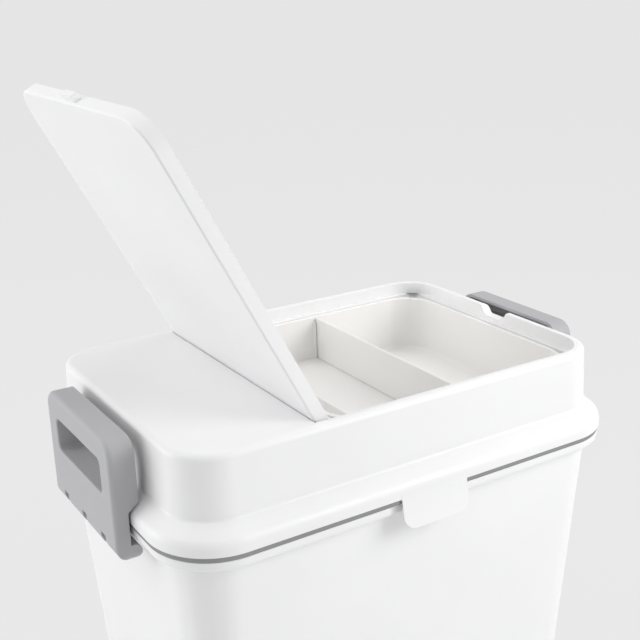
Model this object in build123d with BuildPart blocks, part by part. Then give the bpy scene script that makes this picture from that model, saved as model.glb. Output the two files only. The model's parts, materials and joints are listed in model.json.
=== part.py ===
# Pet food storage container: a tapered bin, a tall lid held by two side clips, a flap in the
# lid that stands open past upright, and a lift-out tray with a divider under the flap.
#
# Frame: the origin is the centre of the base on the floor, +Z is up, X runs along the long
# side, and the pull tab is on the -Y side. Every length is in millimetres.

import os
from math import atan, cos, degrees, radians, sin, tan

from build123d import *

# Overall sizes
total_height = 345.0
rim_length = 394.0
rim_width = 274.0
rim_corner_radius = 49.0
lid_height = 66.5
gasket_height = 4.0
gasket_overhang = 0.2
gasket_width = 6.4

# Bin
bin_wall = 2.6
bin_base = 3.0
bin_taper = 4.5
collar_overhang = 10.0
collar_height = 8.5
collar_wall = 3.0
collar_round = 5.0
foot_round = 5.0

# Lid shell
lid_wall = 3.0
lid_taper = 2.0
skirt_overhang = 1.2
skirt_band_height = 9.0
shoulder_inset = 13.0
shoulder_height = 10.5
shoulder_round = 9.0
cove_round = 3.0
lid_edge_round = 5.0
plug_wall = 2.5
plug_depth = 7.0
plug_gap = 4.0

# Well in the lid's top, where the flap closes over the tray
lip_width = 8.0
well_start = -81.5
well_wall = 2.5
deck_thickness = 5.8
tray_seat_depth = 3.2
tray_seat_width = 2.5
tray_seat_corner = 8.0
flap_ledge_width = 4.3
notch_top_width = 33.0
notch_foot_width = 22.0
notch_depth = 8.0
notch_corner = 4.0
pin_boss_radius = 4.3

# Flap
flap_clearance = 1.6
flap_thickness = 10.3
flap_sink = 0.5
flap_wall = 2.4
flap_open_angle = 117.5
flap_edge_round = 1.8
barrel_radius = 4.0
hinge_block = 5.5
flap_pin_radius = 2.0
flap_pin_length = 22.0
flap_pin_grip = 6.0
finger_tab_gap = 0.5
finger_tab_reach = 5.5
finger_tab_height = 4.6
finger_tab_corner = 2.0
liner_thickness = 2.0
post_radius = 3.5
seal_width = 2.4
seal_seat = 1.0
seal_proud = 0.9

# Tray
tray_left = -54.0
tray_rim_clearance = 1.3
tray_rim_thickness = 2.0
tray_rim_width = 3.8
tray_corner_radius = 32.0
tray_depth = 51.0
tray_wall = 1.8
tray_taper = 1.5
tray_floor_round = 4.0
step_height = 10.0
step_start = 7.0
step_reach = 4.5
divider_place = 57.0
divider_thickness = 2.2
divider_sink = 0.8
divider_clearance = 0.35
guide_width = 2.5
guide_reach = 2.2

# Pull tab on the front of the skirt, a little right of the middle, and the notch in the
# collar behind it
tab_width = 59.0
tab_shift = 4.0
tab_drop = 27.5
tab_flare = 5.5
tab_thickness = 2.8
tab_corner_radius = 10.0
tab_gap = 0.5
collar_notch_margin = 4.8
collar_notch_depth = 3.5

# Clips
clip_width = 124.0
clip_reach = 14.0
clip_thickness = 18.5
clip_wall = 3.0
clip_lean = 2.0
clip_lean_height = 12.0
clip_top_drop = 2.0
clip_top_corner = 13.0
clip_low_corner = 6.0
clip_edge_round = 3.8
clip_foot_round = 12.5
clip_gap = 1.7
clip_band_gap = 1.6
window_width = 87.0
window_height = 26.0
window_drop = 20.5
window_corner = 5.0
window_round = 1.5
clip_pin_drop = 17.0
clip_pin_out = 1.0
clip_pin_radius = 2.0
clip_pin_margin = 3.0
clip_barrel_radius = 6.2
lug_count = 3
lug_width = 7.0
lug_spacing = 37.5
lug_radius = 4.2
lug_slot_gap = 0.5
lug_slot_rise = 3.6

# Clearances
running = 0.05
snug = 0.02
seat = 0.3

# Heights that several pieces share
lid_foot = total_height - lid_height
rim_top = lid_foot - gasket_height
collar_foot = rim_top - collar_height
shoulder_foot = lid_foot + skirt_band_height
shoulder_top = shoulder_foot + shoulder_height
shoulder_angle = degrees(atan(shoulder_inset / shoulder_height))
shoulder_shift = lid_wall * tan(radians(shoulder_angle / 2))

# Half sizes that several pieces share
rim_x = rim_length / 2
rim_y = rim_width / 2
skirt_x = rim_x + skirt_overhang
skirt_y = rim_y + skirt_overhang
skirt_radius = rim_corner_radius + skirt_overhang
top_inset = shoulder_inset + (total_height - shoulder_top) * tan(radians(lid_taper))
well_x = skirt_x - top_inset - lip_width
well_y = skirt_y - top_inset - lip_width
well_radius = skirt_radius - top_inset - lip_width
base_inset = collar_overhang + collar_foot * tan(radians(bin_taper))
plug_inset = collar_wall + plug_gap

# Levels in the well
flap_foot = total_height - flap_sink - flap_thickness
well_floor = flap_foot - seat
tray_seat_floor = well_floor - tray_seat_depth
deck_foot = well_floor - deck_thickness
tray_seat_x = well_x - flap_ledge_width
tray_seat_y = well_y - flap_ledge_width
tray_seat_left = tray_left - tray_rim_clearance

# The flap's hinge axis: in the open pose the flap's outer face stops against the edge of
# the fixed panel
open_sine = sin(radians(flap_open_angle))
open_cosine = cos(radians(flap_open_angle))
hinge_z = total_height - flap_sink - barrel_radius
hinge_reach = (barrel_radius + seat - (flap_sink + barrel_radius) * open_cosine) / open_sine
hinge_x = well_start + hinge_reach
flap_reach = well_x - flap_clearance - hinge_x
flap_half = well_y - flap_clearance
flap_plane = Plane(
    origin=(hinge_x, 0, hinge_z),
    x_dir=(open_cosine, 0, open_sine),
    z_dir=(-open_sine, 0, open_cosine),
)
flap_low = barrel_radius - flap_thickness
flap_corner = well_radius - flap_clearance
finger_tab_width = notch_foot_width - 2 * finger_tab_gap

# The tray
tray_top = tray_seat_floor + seat + tray_rim_thickness
tray_right = tray_seat_x - tray_rim_clearance
tray_half = tray_seat_y - tray_rim_clearance
tray_middle = (tray_left + tray_right) / 2
tray_length = tray_right - tray_left
tray_foot = tray_top - tray_depth
step_end = divider_place + step_reach
step_top = tray_foot + tray_wall + step_height

# The clips' hinge pins, which lie just under the collar, and the collar's notch
clip_pin_x = rim_x + clip_pin_out
clip_pin_z = rim_top - clip_pin_drop
clip_top = total_height - clip_top_drop
clip_foot = clip_pin_z - clip_barrel_radius
clip_barrel_x = clip_pin_x - clip_barrel_radius
clip_pin_length = clip_width - 2 * clip_pin_margin
lug_root_x = rim_x - collar_overhang - (collar_foot - clip_pin_z) * tan(radians(bin_taper))
lug_reach = clip_pin_x - lug_root_x + bin_wall / 2
collar_notch_half = tab_width / 2 + collar_notch_margin
collar_notch_y = rim_y - collar_notch_depth


def ring_size(half_x, half_y, radius, inset):
    # length, width and corner radius of a rounded rectangle, drawn in by an inset
    return 2 * (half_x - inset), 2 * (half_y - inset), radius - inset


def rim_ring(inset):
    return ring_size(rim_x, rim_y, rim_corner_radius, inset)


def skirt_ring(inset):
    return ring_size(skirt_x, skirt_y, skirt_radius, inset)


def at_height(shape, height):
    # the edges that lie flat at one height
    return shape.edges().filter_by_position(Axis.Z, height - seat / 10, height + seat / 10)


def block(low, high):
    # a plain box between two corners
    size = [high[axis] - low[axis] for axis in range(3)]
    middle = [(high[axis] + low[axis]) / 2 for axis in range(3)]
    return Pos(*middle) * Box(*size)


# Inner space of the bin: the tub, and the wider space in the collar, less the wall behind the
# collar's notch
collar_notch = block(
    (-collar_notch_half, -rim_y - collar_round, collar_foot - collar_round),
    (collar_notch_half, -collar_notch_y, rim_top),
)
collar_notch_back = block(
    (-collar_notch_half - collar_wall, -rim_y, collar_foot),
    (collar_notch_half + collar_wall, -collar_notch_y + bin_wall, rim_top),
)
with BuildPart() as collar_space:
    with BuildSketch(Plane.XY.offset(collar_foot + collar_wall)):
        RectangleRounded(*rim_ring(collar_wall))
    extrude(amount=collar_height)
    fillet(at_height(collar_space, collar_foot + collar_wall), collar_round - collar_wall)
with BuildPart() as bin_space:
    with BuildSketch(Plane.XY.offset(bin_base)):
        RectangleRounded(*rim_ring(base_inset - bin_base * tan(radians(bin_taper)) + bin_wall))
    extrude(amount=collar_foot + collar_wall, taper=-bin_taper)
    fillet(at_height(bin_space, bin_base), foot_round - bin_wall)
    add(collar_space.part)
    add(collar_notch_back, mode=Mode.SUBTRACT)

# Bin: the tapered tub, its collar, and the lugs under the collar that hold the clips' pins
with BuildPart() as collar:
    with BuildSketch(Plane.XY.offset(collar_foot)):
        RectangleRounded(*rim_ring(0))
    extrude(amount=collar_height)
    fillet(at_height(collar, collar_foot), collar_round)
with BuildPart() as bin_body:
    with BuildSketch(Plane.XY):
        RectangleRounded(*rim_ring(base_inset))
    extrude(amount=collar_foot, taper=-bin_taper)
    fillet(at_height(bin_body, 0), foot_round)
    add(collar.part)
    add(bin_space.part, mode=Mode.SUBTRACT)
    add(collar_notch, mode=Mode.SUBTRACT)
    for side in (-1, 1):
        pin_plane = Plane.XZ.shift_origin((side * clip_pin_x, 0, clip_pin_z))
        for count in range(lug_count):
            lug_y = (count - (lug_count - 1) / 2) * lug_spacing
            with BuildSketch(pin_plane.offset(-lug_y)):
                Circle(lug_radius)
                with Locations((-side * lug_reach / 2, 0)):
                    Rectangle(lug_reach, 2 * lug_radius)
                Circle(clip_pin_radius + snug, mode=Mode.SUBTRACT)
            extrude(amount=lug_width / 2, both=True)
bin_body.part.label = "bin_body"

# Hollow under the lid: the skirt, the shoulder and the walls, less the walls of the well and
# the bosses that hold the flap's pins and the solid lip round the notch
well_block = block(
    (well_start - well_wall, -well_y - well_wall, deck_foot),
    (well_x + well_wall, well_y + well_wall, total_height),
)
boss_middle = (well_y + skirt_y - shoulder_inset) / 2
boss_length = skirt_y - shoulder_inset - well_y
notch_block = block(
    (well_x, -notch_top_width / 2 - lid_wall, total_height - notch_depth - lid_wall),
    (skirt_x, notch_top_width / 2 + lid_wall, total_height),
)
with BuildPart() as lid_space:
    with BuildSketch(Plane.XY.offset(lid_foot)):
        RectangleRounded(*skirt_ring(plug_inset + plug_wall + skirt_overhang))
    extrude(amount=skirt_band_height)
    with BuildSketch(Plane.XY.offset(lid_foot + lid_wall)):
        RectangleRounded(*skirt_ring(lid_wall))
    extrude(amount=skirt_band_height - lid_wall - shoulder_shift)
    with BuildSketch(Plane.XY.offset(shoulder_foot - shoulder_shift)):
        RectangleRounded(*skirt_ring(lid_wall))
    extrude(amount=shoulder_height, taper=shoulder_angle)
    with BuildSketch(Plane.XY.offset(shoulder_top - shoulder_shift)):
        RectangleRounded(*skirt_ring(lid_wall + shoulder_inset))
    extrude(
        amount=total_height - lid_wall - shoulder_top + shoulder_shift,
        taper=lid_taper,
    )
    fillet(at_height(lid_space, total_height - lid_wall), lid_edge_round - lid_wall)
    add(well_block, mode=Mode.SUBTRACT)
    add(notch_block, mode=Mode.SUBTRACT)
    for side in (-1, 1):
        with Locations(Location((hinge_x, side * boss_middle, hinge_z), (90, 0, 0))):
            Cylinder(pin_boss_radius, boss_length, mode=Mode.SUBTRACT)

# What opens the lid's top: the well, the tray's seat and opening, the notch and the pin holes
with BuildPart() as well_space:
    with BuildSketch(Plane.XY.offset(well_floor)) as well_outline:
        with Locations(((well_start + well_x) / 2, 0)):
            Rectangle(well_x - well_start, 2 * well_y)
        fillet(well_outline.vertices().sort_by(Axis.X)[-2:], well_radius)
    extrude(amount=total_height - well_floor)
    seat_middle = (tray_seat_left + tray_seat_x) / 2
    seat_size = (tray_seat_x - tray_seat_left, 2 * tray_seat_y)
    with BuildSketch(Plane.XY.offset(tray_seat_floor)):
        with Locations((seat_middle, 0)):
            RectangleRounded(*seat_size, tray_seat_corner)
    extrude(amount=well_floor - tray_seat_floor)
    with BuildSketch(Plane.XY.offset(deck_foot - well_wall)):
        with Locations((seat_middle, 0)):
            RectangleRounded(
                seat_size[0] - 2 * tray_seat_width,
                seat_size[1] - 2 * tray_seat_width,
                tray_seat_corner - tray_seat_width,
            )
    extrude(amount=tray_seat_floor - deck_foot + well_wall)
    with BuildSketch(Plane.YZ.offset(well_x - notch_corner)) as notch_outline:
        with BuildLine():
            Polyline(
                (-notch_top_width / 2, total_height),
                (-notch_foot_width / 2, total_height - notch_depth),
                (notch_foot_width / 2, total_height - notch_depth),
                (notch_top_width / 2, total_height),
                close=True,
            )
        make_face()
        fillet(notch_outline.vertices().group_by(Axis.Y)[0], notch_corner)
    extrude(amount=lip_width + notch_corner + lid_wall)
    for side in (-1, 1):
        pin_hole_middle = side * (well_y + (flap_pin_grip + seat) / 2)
        with Locations(Location((hinge_x, pin_hole_middle, hinge_z), (90, 0, 0))):
            Cylinder(flap_pin_radius + snug, flap_pin_grip + seat)

# Pull tab: a plate that flares away from the skirt as it drops
tab_top_z = lid_foot + skirt_band_height / 2
tab_foot_z = tab_top_z - tab_drop
tab_inner_y = -rim_y - tab_gap
with BuildPart() as pull_tab:
    with BuildSketch(Plane.YZ.offset(tab_shift)) as tab_section:
        with BuildLine():
            Bezier(
                (-skirt_y, tab_top_z),
                (-skirt_y - tab_flare / 4, tab_top_z - tab_drop / 2),
                (-skirt_y - tab_flare, tab_foot_z),
            )
            Polyline(
                (-skirt_y - tab_flare, tab_foot_z),
                (-skirt_y - tab_flare + tab_thickness, tab_foot_z),
            )
            Bezier(
                (-skirt_y - tab_flare + tab_thickness, tab_foot_z),
                (tab_inner_y - tab_flare / 8, tab_top_z - tab_drop / 2),
                (tab_inner_y, lid_foot),
            )
            Polyline((tab_inner_y, lid_foot), (tab_inner_y, tab_top_z), (-skirt_y, tab_top_z))
        make_face()
    extrude(amount=tab_width / 2, both=True)
    with BuildSketch(Plane.XZ) as tab_face:
        with Locations((tab_shift, (tab_top_z + tab_foot_z) / 2)):
            Rectangle(tab_width, tab_drop)
        fillet(tab_face.vertices().group_by(Axis.Y)[0], tab_corner_radius)
    extrude(amount=skirt_y + tab_flare, mode=Mode.INTERSECT)

# Lid
with BuildPart() as lid:
    with BuildSketch(Plane.XY.offset(lid_foot)):
        RectangleRounded(*skirt_ring(0))
    extrude(amount=skirt_band_height)
    with BuildSketch(Plane.XY.offset(shoulder_foot)):
        RectangleRounded(*skirt_ring(0))
    extrude(amount=shoulder_height, taper=shoulder_angle)
    with BuildSketch(Plane.XY.offset(shoulder_top)):
        RectangleRounded(*skirt_ring(shoulder_inset))
    extrude(amount=total_height - shoulder_top, taper=lid_taper)
    fillet(at_height(lid, total_height), lid_edge_round)
    fillet(at_height(lid, shoulder_foot), shoulder_round)
    fillet(at_height(lid, shoulder_top), cove_round)
    add(lid_space.part, mode=Mode.SUBTRACT)
    with BuildSketch(Plane.XY.offset(lid_foot - plug_depth)):
        RectangleRounded(*rim_ring(plug_inset))
        RectangleRounded(*rim_ring(plug_inset + plug_wall), mode=Mode.SUBTRACT)
    extrude(amount=plug_depth + lid_wall)
    add(well_space.part, mode=Mode.SUBTRACT)
    add(pull_tab.part)
lid.part.label = "lid"

# Gasket between the lid's foot and the bin's rim
with BuildPart() as lid_gasket:
    with BuildSketch(Plane.XY.offset(rim_top)):
        RectangleRounded(*rim_ring(-gasket_overhang))
        RectangleRounded(*rim_ring(gasket_width - gasket_overhang), mode=Mode.SUBTRACT)
    extrude(amount=gasket_height)
lid_gasket.part.label = "lid_gasket"


def flap_outline(inset, start):
    # the flap's plan, square at the hinge and round at the tip
    outline = Rectangle(
        flap_reach - inset - start, 2 * (flap_half - inset), align=(Align.MIN, Align.CENTER)
    )
    outline = Pos(start, 0) * outline
    return fillet(outline.vertices().sort_by(Axis.X)[-2:], flap_corner - inset)


def flap_part_plane(height):
    return flap_plane.offset(height)


# Flap: a shallow box, open below, whose posts carry the liner
post_places = [
    (flap_reach * along, flap_half * across) for along in (0.2, 0.5, 0.8) for across in (-0.6, 0.6)
]
liner_top = flap_low + liner_thickness
cover_outline = flap_outline(0, 0)
cover_hollow = flap_outline(flap_wall, hinge_block)
liner_outline = flap_outline(flap_wall + seat, hinge_block + seat)
flap_normal = Axis(flap_plane.origin, flap_plane.z_dir)
flap_length_axis = Axis(flap_plane.origin, flap_plane.x_dir)
with BuildPart() as finger_tab:
    with BuildSketch(flap_part_plane(barrel_radius - flap_edge_round - finger_tab_height)):
        with Locations((flap_reach - flap_wall, 0)):
            Rectangle(
                finger_tab_reach + flap_wall, finger_tab_width, align=(Align.MIN, Align.CENTER)
            )
    extrude(amount=finger_tab_height)
    tab_ends = finger_tab.edges().filter_by(flap_normal).group_by(flap_length_axis)[-1]
    fillet(tab_ends, finger_tab_corner)
with BuildPart() as flap_cover:
    with BuildSketch(flap_part_plane(flap_low)):
        add(cover_outline)
    extrude(amount=flap_thickness)
    outer_face = flap_cover.faces().sort_by(flap_normal)[-1]
    fillet(outer_face.edges(), flap_edge_round)
    with BuildSketch(flap_part_plane(flap_low)):
        add(cover_hollow)
    extrude(amount=flap_thickness - flap_wall, mode=Mode.SUBTRACT)
    with BuildSketch(flap_part_plane(liner_top)):
        with Locations(*post_places):
            Circle(post_radius)
    extrude(amount=flap_thickness - flap_wall - liner_thickness)
    add(finger_tab.part)
    with BuildSketch(Plane.XZ.shift_origin((hinge_x, 0, hinge_z))):
        Circle(barrel_radius)
    extrude(amount=flap_half, both=True)
    for side in (-1, 1):
        bore_depth = flap_pin_length - flap_pin_grip + seat
        bore_middle = side * (well_y - bore_depth / 2)
        with Locations(Location((hinge_x, bore_middle, hinge_z), (90, 0, 0))):
            Cylinder(flap_pin_radius + running, bore_depth, mode=Mode.SUBTRACT)
flap_cover.part.label = "flap_cover"

# Liner: the plate that closes the flap's inner side, grooved for the seal
seal_inset = flap_reach + hinge_x - tray_right + tray_rim_width / 2
seal_start = tray_left + tray_rim_width / 2 - hinge_x
seal_plan = (flap_reach - seal_inset - seal_start, 2 * (tray_half - tray_rim_width / 2))
seal_middle = seal_start + seal_plan[0] / 2
seal_corner = tray_corner_radius - tray_rim_width / 2


def seal_outline(growth):
    # a band round the tray's rim, as wide as the seal and its side clearances
    half = seal_width / 2 + growth
    band = RectangleRounded(
        seal_plan[0] + 2 * half, seal_plan[1] + 2 * half, seal_corner + half
    )
    band -= RectangleRounded(
        seal_plan[0] - 2 * half, seal_plan[1] - 2 * half, seal_corner - half
    )
    return Pos(seal_middle, 0) * band


seal_groove = seal_outline(running)
seal_band = seal_outline(0)
with BuildPart() as flap_liner:
    with BuildSketch(flap_part_plane(flap_low)):
        add(liner_outline)
    extrude(amount=liner_thickness)
    with BuildSketch(flap_part_plane(flap_low)):
        add(seal_groove)
    extrude(amount=seal_seat, mode=Mode.SUBTRACT)
flap_liner.part.label = "flap_liner"

with BuildPart() as flap_seal:
    with BuildSketch(flap_part_plane(flap_low - seal_proud)):
        add(seal_band)
    extrude(amount=seal_seat + seal_proud)
flap_seal.part.label = "flap_seal"


def flap_pin(side, label):
    # a short pin, gripped in the lip and running in the end of the flap's barrel
    middle = side * (well_y + flap_pin_grip - flap_pin_length / 2)
    with BuildPart() as pin:
        with Locations(Location((hinge_x, middle, hinge_z), (90, 0, 0))):
            Cylinder(flap_pin_radius, flap_pin_length)
        chamfer(pin.edges().filter_by(GeomType.CIRCLE), seat)
    pin.part.label = label
    return pin


flap_pin_front = flap_pin(-1, "flap_pin_front")
flap_pin_back = flap_pin(1, "flap_pin_back")

# Tray: a rim that hangs in the lid, a tub with a raised floor, and guides for the divider
tub_inset = tray_rim_width - tray_wall
tub_lean = tan(radians(tray_taper))


def tray_ring(inset):
    return tray_length - 2 * inset, 2 * (tray_half - inset), tray_corner_radius - inset


with BuildPart() as tray_space:
    with BuildSketch(Plane.XY.offset(tray_top)):
        with Locations((tray_middle, 0)):
            RectangleRounded(*tray_ring(tray_rim_width))
    extrude(amount=-(tray_depth - tray_wall), taper=tray_taper)
    fillet(at_height(tray_space, tray_foot + tray_wall), tray_floor_round)
    with BuildSketch(Plane.XY.offset(tray_foot)):
        with Locations(((step_start + step_end) / 2, 0)):
            Rectangle(step_end - step_start, 2 * tray_half)
    extrude(amount=step_top - tray_foot, mode=Mode.SUBTRACT)
    for side in (-1, 1):
        guide_y = tray_half - tray_rim_width - guide_reach
        for place in (-1, 1):
            guide_x = divider_place + place * (
                divider_thickness / 2 + divider_clearance + guide_width / 2
            )
            with BuildSketch(Plane.XY.offset(tray_foot)):
                with Locations((guide_x, side * tray_half)):
                    Rectangle(guide_width, 2 * (tray_half - guide_y))
            extrude(
                amount=tray_depth - divider_sink - tray_floor_round, mode=Mode.SUBTRACT
            )
with BuildPart() as tray:
    with BuildSketch(Plane.XY.offset(tray_top)):
        with Locations((tray_middle, 0)):
            RectangleRounded(*tray_ring(0))
    extrude(amount=-tray_rim_thickness)
    with BuildSketch(Plane.XY.offset(tray_top)):
        with Locations((tray_middle, 0)):
            RectangleRounded(*tray_ring(tub_inset))
    extrude(amount=-tray_depth, taper=tray_taper)
    fillet(at_height(tray, tray_foot), tray_floor_round + tray_wall)
    with BuildSketch(Plane.XY.offset(tray_foot)):
        with Locations(((step_start + step_end) / 2, 0)):
            Rectangle(step_end - step_start - 2 * tray_wall, 2 * tray_half)
    extrude(amount=step_height, mode=Mode.SUBTRACT)
    add(tray_space.part, mode=Mode.SUBTRACT)
tray.part.label = "tray"

# Divider: a plate that stands on the raised floor between the guides
divider_top = tray_top - divider_sink
divider_foot = step_top + seat


def divider_half(height):
    # half the plate's width at a height, a clearance inside the tapered walls
    return tray_half - tray_rim_width - (tray_top - height) * tub_lean - divider_clearance


with BuildPart() as tray_divider:
    with BuildSketch(Plane.YZ.offset(divider_place)):
        with BuildLine():
            Polyline(
                (-divider_half(divider_top), divider_top),
                (divider_half(divider_top), divider_top),
                (divider_half(divider_foot), divider_foot),
                (-divider_half(divider_foot), divider_foot),
                close=True,
            )
        make_face()
    extrude(amount=divider_thickness / 2, both=True)
    fillet(tray_divider.edges().filter_by(Axis.Y).group_by(Axis.Z)[-1], divider_thickness / 3)
tray_divider.part.label = "tray_divider"

# Right clip: a moulding with a hand window, that hooks over the shoulder and turns on a pin
clip_out_x = rim_x + clip_reach
clip_inner_top_x = clip_out_x - clip_thickness
clip_inner_x = clip_inner_top_x - clip_lean
slope_sine = sin(radians(shoulder_angle))
slope_cosine = cos(radians(shoulder_angle))
clip_band_x = skirt_x + clip_band_gap


def clip_slope_z(place):
    # height of the clip's inner slope, held off the lid's shoulder by the clip's gap
    return shoulder_foot + (skirt_x - place + clip_gap / slope_cosine) * slope_cosine / slope_sine


window_top = total_height - window_drop
window_foot = window_top - window_height
with BuildPart() as right_clip:
    with BuildSketch(Plane.YZ.offset(clip_barrel_x)) as clip_face:
        with Locations((0, (clip_top + clip_foot) / 2)):
            Rectangle(clip_width, clip_top - clip_foot)
        fillet(clip_face.vertices().group_by(Axis.Y)[0], clip_low_corner)
        fillet(clip_face.vertices().group_by(Axis.Y)[-1], clip_top_corner)
    extrude(amount=clip_out_x - clip_barrel_x)
    fillet(right_clip.faces().sort_by(Axis.X)[-1].edges(), clip_edge_round)
    with BuildSketch(Plane.XZ):
        with BuildLine():
            Polyline(
                (clip_out_x, clip_foot + clip_foot_round),
                (clip_out_x, clip_top),
                (clip_inner_top_x, clip_top),
                (clip_inner_x, clip_top - clip_lean_height),
                (clip_inner_x, clip_slope_z(clip_inner_x)),
                (clip_band_x, clip_slope_z(clip_band_x)),
                (clip_band_x, clip_pin_z),
                (clip_pin_x, clip_pin_z),
                (clip_pin_x, clip_foot),
                (clip_out_x - clip_foot_round, clip_foot),
            )
            RadiusArc(
                (clip_out_x - clip_foot_round, clip_foot),
                (clip_out_x, clip_foot + clip_foot_round),
                -clip_foot_round,
            )
        make_face()
        with Locations((clip_pin_x, clip_pin_z)):
            Circle(clip_barrel_radius)
    extrude(amount=clip_width / 2, both=True, mode=Mode.INTERSECT)
    with BuildSketch(Plane.YZ.offset(clip_out_x - clip_wall)) as upper_hollow:
        hollow_top = clip_top - clip_wall
        hollow_foot = shoulder_top + clip_wall
        with Locations((0, (hollow_top + hollow_foot) / 2)):
            RectangleRounded(
                clip_width - 2 * clip_wall, hollow_top - hollow_foot, clip_top_corner - clip_wall
            )
        with Locations((0, (window_top + window_foot) / 2)):
            RectangleRounded(
                window_width + 2 * clip_wall,
                window_height + 2 * clip_wall,
                window_corner + clip_wall,
                mode=Mode.SUBTRACT,
            )
    extrude(amount=-clip_thickness - clip_lean, mode=Mode.SUBTRACT)
    with BuildSketch(Plane.YZ.offset(clip_out_x - clip_wall)):
        lower_top = clip_slope_z(clip_band_x) - clip_wall
        lower_foot = clip_pin_z + clip_barrel_radius + clip_wall
        with Locations((0, (lower_top + lower_foot) / 2)):
            RectangleRounded(
                clip_width - 2 * clip_wall, lower_top - lower_foot, clip_low_corner - clip_wall
            )
    extrude(amount=-clip_thickness, mode=Mode.SUBTRACT)
    with BuildSketch(Plane.YZ.offset(clip_out_x)):
        with Locations((0, (window_top + window_foot) / 2)):
            RectangleRounded(window_width, window_height, window_corner)
    extrude(amount=-clip_thickness - clip_lean, both=True, mode=Mode.SUBTRACT)
    window_rim = right_clip.edges().filter_by_position(Axis.X, clip_out_x - seat, clip_out_x + seat)
    window_rim = window_rim.filter_by_position(Axis.Z, window_foot - seat, window_top + seat)
    window_rim = window_rim.filter_by_position(
        Axis.Y, -window_width / 2 - seat, window_width / 2 + seat
    )
    fillet(window_rim, window_round)
    slot_top = clip_pin_z + lug_radius + lug_slot_rise
    for count in range(lug_count):
        with BuildSketch(Plane.YZ.offset(clip_out_x)):
            with Locations(((count - (lug_count - 1) / 2) * lug_spacing, slot_top)):
                Rectangle(
                    lug_width + 2 * lug_slot_gap,
                    slot_top - clip_foot + seat,
                    align=(Align.CENTER, Align.MAX),
                )
        extrude(amount=-clip_thickness - clip_lean, mode=Mode.SUBTRACT)
    bore_start = -clip_pin_length / 2 - seat
    bore_length = clip_width / 2 - bore_start
    bore_place = (clip_pin_x, bore_start + bore_length / 2, clip_pin_z)
    with Locations(Location(bore_place, (90, 0, 0))):
        Cylinder(clip_pin_radius + running, bore_length, mode=Mode.SUBTRACT)
right_clip.part.label = "right_clip"

with BuildPart() as left_clip:
    add(mirror(right_clip.part, about=Plane.YZ))
left_clip.part.label = "left_clip"


def clip_pin(side, label):
    # a steel pin through the clip's barrel and the bin's lugs
    with BuildPart() as pin:
        with Locations(Location((side * clip_pin_x, 0, clip_pin_z), (90, 0, 0))):
            Cylinder(clip_pin_radius, clip_pin_length)
        chamfer(pin.edges().filter_by(GeomType.CIRCLE), seat)
    pin.part.label = label
    return pin


right_clip_pin = clip_pin(1, "right_clip_pin")
left_clip_pin = clip_pin(-1, "left_clip_pin")

os.makedirs("parts", exist_ok=True)
pieces = [
    bin_body,
    lid,
    lid_gasket,
    flap_cover,
    flap_liner,
    flap_seal,
    flap_pin_front,
    flap_pin_back,
    tray,
    tray_divider,
    left_clip,
    right_clip,
    left_clip_pin,
    right_clip_pin,
]
for piece in pieces:
    export_step(piece.part, f"parts/{piece.part.label}.step")
    print(piece.part.label, len(piece.part.solids()), round(piece.part.volume))
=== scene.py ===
# %% [markdown]
# # A pet food storage container, dressed for its photograph
#
# The construction is already made: a tapered bin, a tall lid with two side clips, a flap that
# stands open and a divided tray. This lesson loads those pieces at their true size, softens
# their moulded edges, models the two silicone beads, gives each piece its plastic, silicone or
# steel, and lights the whole as a plain product photograph. All lengths are in metres.

import json
import math

import bmesh
import bpy
from mathutils import Matrix, Vector


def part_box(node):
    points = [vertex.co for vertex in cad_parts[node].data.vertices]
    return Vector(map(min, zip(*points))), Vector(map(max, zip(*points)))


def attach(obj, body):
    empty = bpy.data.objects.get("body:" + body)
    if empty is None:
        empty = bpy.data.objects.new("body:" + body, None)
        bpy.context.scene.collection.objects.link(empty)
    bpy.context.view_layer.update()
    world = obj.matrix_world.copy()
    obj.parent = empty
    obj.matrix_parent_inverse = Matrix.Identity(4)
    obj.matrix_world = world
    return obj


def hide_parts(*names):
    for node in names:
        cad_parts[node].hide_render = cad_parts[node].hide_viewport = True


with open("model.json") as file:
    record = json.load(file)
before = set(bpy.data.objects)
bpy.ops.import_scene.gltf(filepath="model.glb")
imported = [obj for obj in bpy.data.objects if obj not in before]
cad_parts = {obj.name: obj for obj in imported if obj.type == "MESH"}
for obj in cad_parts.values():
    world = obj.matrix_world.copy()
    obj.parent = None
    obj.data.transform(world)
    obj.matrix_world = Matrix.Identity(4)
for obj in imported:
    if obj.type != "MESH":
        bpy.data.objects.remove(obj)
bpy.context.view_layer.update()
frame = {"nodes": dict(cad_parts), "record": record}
bpy.ops.object.select_all(action="DESELECT")
print("pieces:", sorted(frame["nodes"]))

# %% [markdown]
# ## Camera
#
# The photograph looks down on the lid from the front left, from about the distance of a person
# bending over the bin. The camera could be aimed with a Track To constraint, but its place and
# angles were worked out from the straight edges of the lid, so they are written directly. The
# small roll is the photograph's own.

# %% Camera
camera_place = Vector((-0.4277, -0.6902, 0.6457))
camera_turn = math.radians(31.53)
camera_dip = math.radians(18.72)
camera_roll = math.radians(-1.68)
camera_lens = 60.6
sensor_width = 36.0
nearest_seen = 0.01

camera_data = bpy.data.cameras.new("camera")
camera_data.lens = camera_lens
camera_data.sensor_width = sensor_width
camera_data.clip_start = nearest_seen
camera = bpy.data.objects.new("camera", camera_data)
bpy.context.scene.collection.objects.link(camera)
looking = Vector((math.sin(camera_turn), math.cos(camera_turn), 0)) * math.cos(camera_dip)
looking.z = -math.sin(camera_dip)
level_right = Vector((math.cos(camera_turn), -math.sin(camera_turn), 0))
level_up = level_right.cross(looking)
right = math.cos(camera_roll) * level_right + math.sin(camera_roll) * level_up
up = -math.sin(camera_roll) * level_right + math.cos(camera_roll) * level_up
axes = Matrix((right, up, -looking)).transposed().to_4x4()
camera.matrix_world = Matrix.Translation(camera_place) @ axes
bpy.context.scene.camera = camera
print("camera at", tuple(round(value, 3) for value in camera_place))

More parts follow.
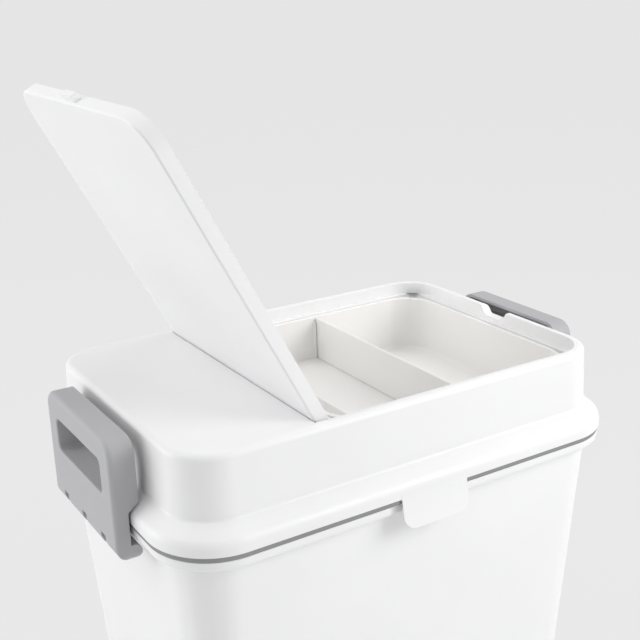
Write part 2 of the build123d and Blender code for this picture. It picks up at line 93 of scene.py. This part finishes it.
# %% [markdown]
# ## Tools for working on one piece
#
# Edit mode works on whatever is active and selected, so each step starts from a clean choice.
# One helper picks a single piece. The other chooses its faces or edges in edit mode by a test of
# their place, which is how a hand would click on them.


# %% Choosing a piece and its edges
def pick(piece):
    # make one piece the only selected and active one
    bpy.ops.object.select_all(action="DESELECT")
    piece.select_set(True)
    bpy.context.view_layer.objects.active = piece


def choose(piece, kind, test):
    # in edit mode, select only the faces or edges that pass a test
    mode = {"faces": (False, False, True), "edges": (False, True, False)}[kind]
    bpy.context.tool_settings.mesh_select_mode = mode
    bpy.ops.mesh.select_all(action="DESELECT")
    mesh = bmesh.from_edit_mesh(piece.data)
    for item in getattr(mesh, kind):
        item.select_set(bool(test(item)))
    bmesh.update_edit_mesh(piece.data)


print("helpers ready")

# %% [markdown]
# ## Softened mouldings
#
# No moulded edge is truly sharp: the tool's corners are rounded by a few tenths of a millimetre,
# and that rounding is what catches the light along the lip, the tray's rim and the hand windows.
# The edges could be faked with a normal trick in the material, but real geometry also shows in
# the outline. Each construction mesh arrives as loose triangles, so a copy is merged, its flat
# triangles are dissolved back into whole faces, and a narrow bevel runs along every edge that is
# still sharp. The bevel's clamp is off, because a single short edge would narrow the whole piece's
# rounding to almost nothing. In return each width has to stay below the one at which the bevel
# breaks a face of that piece, which is least on the flap's small barrel.
# Weighted normals then keep the large faces flat, so that the shading bends only along the
# rounded edges.

# %% Soften the moulded pieces
edge_softness = {
    "bin_body": 0.0006,
    "lid": 0.0005,
    "tray": 0.0004,
    "flap_cover": 0.0002,
    "flap_liner": 0.0004,
    "left_clip": 0.0006,
    "right_clip": 0.0006,
    "tray_divider": 0.0003,
}
edge_steps = 3
flat_angle = math.radians(0.4)
sharp_angle = math.radians(32)
weld_distance = 0.000002


def soften(node_name, width):
    # a copy of a construction piece with welded faces and narrow rounded edges
    source = frame["nodes"][node_name]
    piece = bpy.data.objects.new(node_name + "_soft", source.data.copy())
    bpy.context.scene.collection.objects.link(piece)
    pick(piece)
    bpy.ops.object.mode_set(mode="EDIT")
    bpy.ops.mesh.select_all(action="SELECT")
    bpy.ops.mesh.remove_doubles(threshold=weld_distance)
    bpy.ops.mesh.dissolve_limited(angle_limit=flat_angle)
    bpy.ops.object.mode_set(mode="OBJECT")
    rounding = piece.modifiers.new("rounding", "BEVEL")
    rounding.width = width
    rounding.segments = edge_steps
    rounding.use_clamp_overlap = False
    rounding.limit_method = "ANGLE"
    rounding.angle_limit = sharp_angle
    bpy.ops.object.modifier_apply(modifier="rounding")
    bpy.ops.object.shade_smooth_by_angle(angle=sharp_angle)
    evening = piece.modifiers.new("evening", "WEIGHTED_NORMAL")
    evening.keep_sharp = True
    bpy.ops.object.modifier_apply(modifier="evening")
    return piece


softened = {name: soften(name, width) for name, width in edge_softness.items()}
for name, piece in softened.items():
    print(name, "faces:", len(piece.data.polygons))

# %% [markdown]
# ## The lid's gasket
#
# A soft grey band lies between the lid's foot and the bin's rim and stands a little proud of
# the rim. It could be a curve with a round bevel, but a band that is wider than it is tall is
# easier from a plane: round its corners, inset a hole, pull it up to its height and round its
# lower edges.

# %% Bead modelled from a plane
corner_steps = 20
bead_steps = 4


def bead(name, low, high, corner, width, rounding):
    # a rounded rectangular ring from low to high, with the edges of its low side rounded
    size = [high[axis] - low[axis] for axis in range(3)]
    middle = [(high[axis] + low[axis]) / 2 for axis in range(2)]
    bpy.ops.object.select_all(action="DESELECT")
    bpy.ops.mesh.primitive_plane_add(size=1, location=(*middle, low[2]))
    ring = bpy.context.active_object
    ring.name = name
    ring.scale = (size[0], size[1], 1)
    bpy.ops.object.transform_apply(location=True, rotation=True, scale=True)
    bpy.ops.object.mode_set(mode="EDIT")
    bpy.ops.mesh.select_all(action="SELECT")
    bpy.ops.mesh.bevel(affect="VERTICES", offset=corner, segments=corner_steps)
    choose(ring, "faces", lambda face: True)
    bpy.ops.mesh.inset(thickness=width)
    bpy.ops.mesh.delete(type="FACE")
    bpy.ops.mesh.select_all(action="SELECT")
    bpy.ops.mesh.extrude_region_move(TRANSFORM_OT_translate={"value": (0, 0, size[2])})
    bpy.ops.mesh.select_all(action="SELECT")
    bpy.ops.mesh.normals_make_consistent(inside=False)
    slack = size[2] / 10

    def along_low_side(edge):
        # the ring's two low outlines, where a flat face meets an upright one
        level = all(abs(vertex.co.z - low[2]) < slack for vertex in edge.verts)
        flat = {abs(face.normal.z) > 0.5 for face in edge.link_faces}
        return level and len(flat) == 2

    choose(ring, "edges", along_low_side)
    bpy.ops.mesh.bevel(offset=rounding, segments=bead_steps, affect="EDGES")
    bpy.ops.object.mode_set(mode="OBJECT")
    bpy.ops.object.shade_smooth_by_angle(angle=sharp_angle)
    return ring


rim_corner = 0.049
rim_half_length = 0.197
gasket_width = 0.0064
gasket_rounding = 0.0009
gasket_low, gasket_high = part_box("lid_gasket")
gasket_corner = rim_corner + gasket_high[0] - rim_half_length
gasket_bead = bead(
    "gasket_bead", gasket_low, gasket_high, gasket_corner, gasket_width, gasket_rounding
)
print("gasket faces:", len(gasket_bead.data.polygons))

# %% [markdown]
# ## The flap's seal
#
# The same kind of bead sits in a groove of the flap's liner, with a rounded lip that meets the
# tray's rim when the flap is shut. It is modelled flat at the hinge, where its sizes are easy to
# read, and then the whole ring is turned up by the flap's open angle about the hinge.

# %% Seal modelled flat and turned into place
seal_corner = 0.0313
seal_width = 0.0024
seal_rounding = 0.0008
joints = {joint["name"]: joint for joint in frame["record"]["behaviour"]["joints"]}
hinge = Vector(joints["flap_hinge"]["pos_m"])
open_angle = -math.radians(joints["flap_hinge"]["range_deg"][0])
turn = Matrix.Translation(hinge) @ Matrix.Rotation(-open_angle, 4, "Y")
flat_places = [turn.inverted() @ vertex.co for vertex in frame["nodes"]["flap_seal"].data.vertices]
seal_low = [min(place[axis] for place in flat_places) for axis in range(3)]
seal_high = [max(place[axis] for place in flat_places) for axis in range(3)]
seal_bead = bead("seal_bead", seal_low, seal_high, seal_corner, seal_width, seal_rounding)
seal_bead.matrix_world = turn
pick(seal_bead)
bpy.ops.object.transform_apply(location=True, rotation=True, scale=True)
print("seal spans", [round(high - low, 4) for low, high in zip(seal_low, seal_high)])

# %% [markdown]
# ## Plastic, silicone and steel
#
# Everything but the pins and the two beads is injection moulded plastic. It is not one flat
# colour: thick and thin places let a little more or less light through, the mould's fine
# sparked texture breaks up the reflection, panels sink by a tenth of a millimetre or so as they
# cool, and handling leaves faint duller patches and hairline scuffs. An image texture could
# carry this, but noise on Object coordinates keeps its scale in millimetres on every piece and
# needs no unwrapping.


# %% Moulded material
drift_scale = 9.0
drift_middle = (0.35, 0.65)
wear_scale = 22.0
wear_middle = (0.3, 0.7)
wear_swing = 0.05
sink_scale = 28.0
scuff_direction = math.radians(24)
scuff_stretch = (30.0, 900.0, 400.0)
scuff_threshold = (0.68, 0.76)
scuff_roughness = 0.08
sink_depth = 0.0002


def noise(tree, place, scale, detail):
    # a noise texture at a scale, read from a place socket
    texture = tree.nodes.new("ShaderNodeTexNoise")
    texture.inputs["Scale"].default_value = scale
    texture.inputs["Detail"].default_value = detail
    tree.links.new(place, texture.inputs["Vector"])
    return texture.outputs["Fac"]


def spread(tree, value, span, new_span):
    # one span of a value stretched onto another
    stretch = tree.nodes.new("ShaderNodeMapRange")
    ends = ("From Min", "From Max", "To Min", "To Max")
    for end, limit in zip(ends, (*span, *new_span)):
        stretch.inputs[end].default_value = limit
    tree.links.new(value, stretch.inputs["Value"])
    return stretch.outputs["Result"]


def add_up(tree, first, second):
    # the sum of two values
    total = tree.nodes.new("ShaderNodeMath")
    total.operation = "ADD"
    tree.links.new(first, total.inputs[0])
    tree.links.new(second, total.inputs[1])
    return total.outputs["Value"]


def relief(tree, height, distance, below=None):
    # bump of a height over a distance, on top of another bump where one is given
    bump = tree.nodes.new("ShaderNodeBump")
    bump.inputs["Distance"].default_value = distance
    tree.links.new(height, bump.inputs["Height"])
    if below:
        tree.links.new(below, bump.inputs["Normal"])
    return bump.outputs["Normal"]


def moulded(name, colour, roughness, grain_size, grain_depth, mottle=0.012, gloss=0.5):
    # a material with a slow colour drift, uneven gloss, scuffs, sink marks and a fine grain
    material = bpy.data.materials.new(name)
    material.use_nodes = True
    tree = material.node_tree
    shader = tree.nodes["Principled BSDF"]
    shader.inputs["Specular IOR Level"].default_value = gloss
    place = tree.nodes.new("ShaderNodeTexCoord").outputs["Object"]
    tint = tree.nodes.new("ShaderNodeValToRGB")
    shifts = (1 - mottle, 1 + mottle)
    for stop, position, shift in zip(tint.color_ramp.elements, drift_middle, shifts):
        stop.position = position
        stop.color = (*[min(channel * shift, 1.0) for channel in colour], 1)
    tree.links.new(noise(tree, place, drift_scale, detail=3.0), tint.inputs["Fac"])
    tree.links.new(tint.outputs["Color"], shader.inputs["Base Color"])
    along = tree.nodes.new("ShaderNodeMapping")
    along.inputs["Rotation"].default_value = (0.0, 0.0, scuff_direction)
    along.inputs["Scale"].default_value = scuff_stretch
    tree.links.new(place, along.inputs["Vector"])
    patches = noise(tree, place, wear_scale, detail=5.0)
    wear_span = (roughness - wear_swing, roughness + wear_swing)
    handled = spread(tree, patches, wear_middle, wear_span)
    hairlines = noise(tree, along.outputs["Vector"], scale=1.0, detail=1.0)
    scuffs = spread(tree, hairlines, scuff_threshold, (0.0, scuff_roughness))
    tree.links.new(add_up(tree, handled, scuffs), shader.inputs["Roughness"])
    sunk = relief(tree, noise(tree, place, sink_scale, detail=0.0), sink_depth)
    sparked = noise(tree, place, 1 / grain_size, detail=2.0)
    grain = relief(tree, sparked, grain_depth, below=sunk)
    tree.links.new(grain, shader.inputs["Normal"])
    return material


finish_looks = {
    "white_plastic": {
        "colour": (0.88, 0.88, 0.885),
        "roughness": 0.40,
        "grain_size": 0.0009,
        "grain_depth": 0.00002,
    },
    "tray_plastic": {
        "colour": (0.88, 0.87, 0.855),
        "roughness": 0.36,
        "grain_size": 0.0012,
        "grain_depth": 0.00001,
    },
    "grey_plastic": {
        "colour": (0.435, 0.435, 0.45),
        "roughness": 0.5,
        "grain_size": 0.0006,
        "grain_depth": 0.00003,
        "gloss": 0.4,
    },
    "silicone": {
        "colour": (0.27, 0.27, 0.275),
        "roughness": 0.6,
        "grain_size": 0.0008,
        "grain_depth": 0.00001,
        "mottle": 0.05,
    },
    "steel": {
        "colour": (0.6, 0.6, 0.6),
        "roughness": 0.32,
        "grain_size": 0.0004,
        "grain_depth": 0.00001,
    },
}
finishes = {name: moulded(name, **look) for name, look in finish_looks.items()}
steel_shader = finishes["steel"].node_tree.nodes["Principled BSDF"]
steel_shader.inputs["Metallic"].default_value = 1.0
print("materials:", sorted(finishes))

# %% [markdown]
# ## Which piece is what
#
# The record names each piece's finish and body. A second table written by hand could say the
# same, but it would have to be kept in step. The softened copies and the two beads take both from
# the piece they stand for, so they ride with the same body and hide the plain one.

# %% Finishes and bodies
slots = {part["node"]: part["material_slot"] for part in frame["record"]["subparts"]}
bodies = {
    node: body
    for body, nodes in frame["record"]["behaviour"]["bodies"].items()
    for node in nodes
}
for node_name, slot_name in slots.items():
    node = frame["nodes"][node_name]
    node.data.materials.clear()
    node.data.materials.append(finishes[slot_name])
dressed = {**softened, "lid_gasket": gasket_bead, "flap_seal": seal_bead}
for node_name, piece in dressed.items():
    piece.data.materials.clear()
    piece.data.materials.append(finishes[slots[node_name]])
    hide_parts(node_name)
    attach(piece, bodies[node_name])
print("dressed:", len(dressed), "of", len(slots))

# %% [markdown]
# ## Floor, backdrop and light
#
# The container stands on pale grey, lit as if by broad soft boxes on the left, on the right and
# overhead. A white room made of area lamps would do the same; one even world light and four
# large lamps are quicker and cleaner. What the camera sees of the floor is mostly its own pale
# grey, so that it stays as even as paper, with just enough lit surface mixed in to hold a shadow.

# %% Stage
paper_grey = 0.812
sky_light = 0.51
paper_albedo = 0.86
paper_roughness = 0.9
lit_share = 0.08
far_paper = paper_grey * (1 - lit_share) + lit_share * paper_albedo * sky_light


def seen_directly(tree):
    # 1 for what the camera sees, also in a reflection or through glass
    rays = tree.nodes.new("ShaderNodeLightPath")
    either = rays.outputs["Is Camera Ray"]
    for other in ("Is Glossy Ray", "Is Transmission Ray"):
        larger = tree.nodes.new("ShaderNodeMath")
        larger.operation = "MAXIMUM"
        tree.links.new(either, larger.inputs[0])
        tree.links.new(rays.outputs[other], larger.inputs[1])
        either = larger.outputs["Value"]
    return either


def paper(name):
    # pale grey to the camera, with a share of lit surface that holds the shadow
    material = bpy.data.materials.new(name)
    material.use_nodes = True
    tree = material.node_tree
    lit = tree.nodes["Principled BSDF"]
    lit.inputs["Base Color"].default_value = (paper_albedo, paper_albedo, paper_albedo, 1)
    lit.inputs["Roughness"].default_value = paper_roughness
    flat = tree.nodes.new("ShaderNodeEmission")
    flat.inputs["Color"].default_value = (paper_grey, paper_grey, paper_grey, 1)
    seen = tree.nodes.new("ShaderNodeMath")
    seen.operation = "MULTIPLY"
    seen.inputs[1].default_value = 1 - lit_share
    tree.links.new(seen_directly(tree), seen.inputs[0])
    share = tree.nodes.new("ShaderNodeMixShader")
    tree.links.new(seen.outputs["Value"], share.inputs["Fac"])
    tree.links.new(lit.outputs["BSDF"], share.inputs[1])
    tree.links.new(flat.outputs["Emission"], share.inputs[2])
    tree.links.new(share.outputs["Shader"], tree.nodes["Material Output"].inputs["Surface"])
    return material


floor_size = 60
floor_drop = 0.0005
bpy.ops.mesh.primitive_plane_add(size=floor_size, location=(0, 0, -floor_drop))
floor = bpy.context.active_object
floor.name = "floor"
floor.data.materials.append(paper("floor_paper"))

world = bpy.data.worlds.new("world")
world.use_nodes = True
bpy.context.scene.world = world
sky_tree = world.node_tree
light = sky_tree.nodes["Background"]
light.inputs["Color"].default_value = (1, 1, 1, 1)
light.inputs["Strength"].default_value = sky_light
backdrop = sky_tree.nodes.new("ShaderNodeBackground")
backdrop.inputs["Color"].default_value = (far_paper, far_paper, far_paper, 1)
backdrop.inputs["Strength"].default_value = 1.0
sky_mix = sky_tree.nodes.new("ShaderNodeMixShader")
sky_tree.links.new(seen_directly(sky_tree), sky_mix.inputs["Fac"])
sky_tree.links.new(light.outputs["Background"], sky_mix.inputs[1])
sky_tree.links.new(backdrop.outputs["Background"], sky_mix.inputs[2])
sky_tree.links.new(sky_mix.outputs["Shader"], sky_tree.nodes["World Output"].inputs["Surface"])
print("floor and sky ready")


# %% Soft boxes
def soft_box(name, place, target, size, power):
    # a square area lamp aimed at a point
    data = bpy.data.lights.new(name, "AREA")
    data.size = size
    data.energy = power
    lamp = bpy.data.objects.new(name, data)
    bpy.context.scene.collection.objects.link(lamp)
    lamp.location = place
    lamp.rotation_euler = (Vector(target) - Vector(place)).to_track_quat("-Z", "Y").to_euler()
    return lamp


lamps = [
    soft_box("right_front_box", (0.9, -1.1, 1.0), (0.1, 0, 0.25), size=0.9, power=13),
    soft_box("left_box", (-2.1, 1.3, 0.5), (0, 0, 0.3), size=1.5, power=22),
    soft_box("high_left_box", (-1.2, 0.5, 1.6), (-0.1, 0, 0.3), size=1.1, power=7),
    soft_box("overhead_box", (0.4, 0.3, 2.4), (0.1, 0, 0.3), size=1.5, power=10),
]
bpy.context.scene.view_settings.view_transform = "Standard"
print("lamps:", [lamp.name for lamp in lamps])
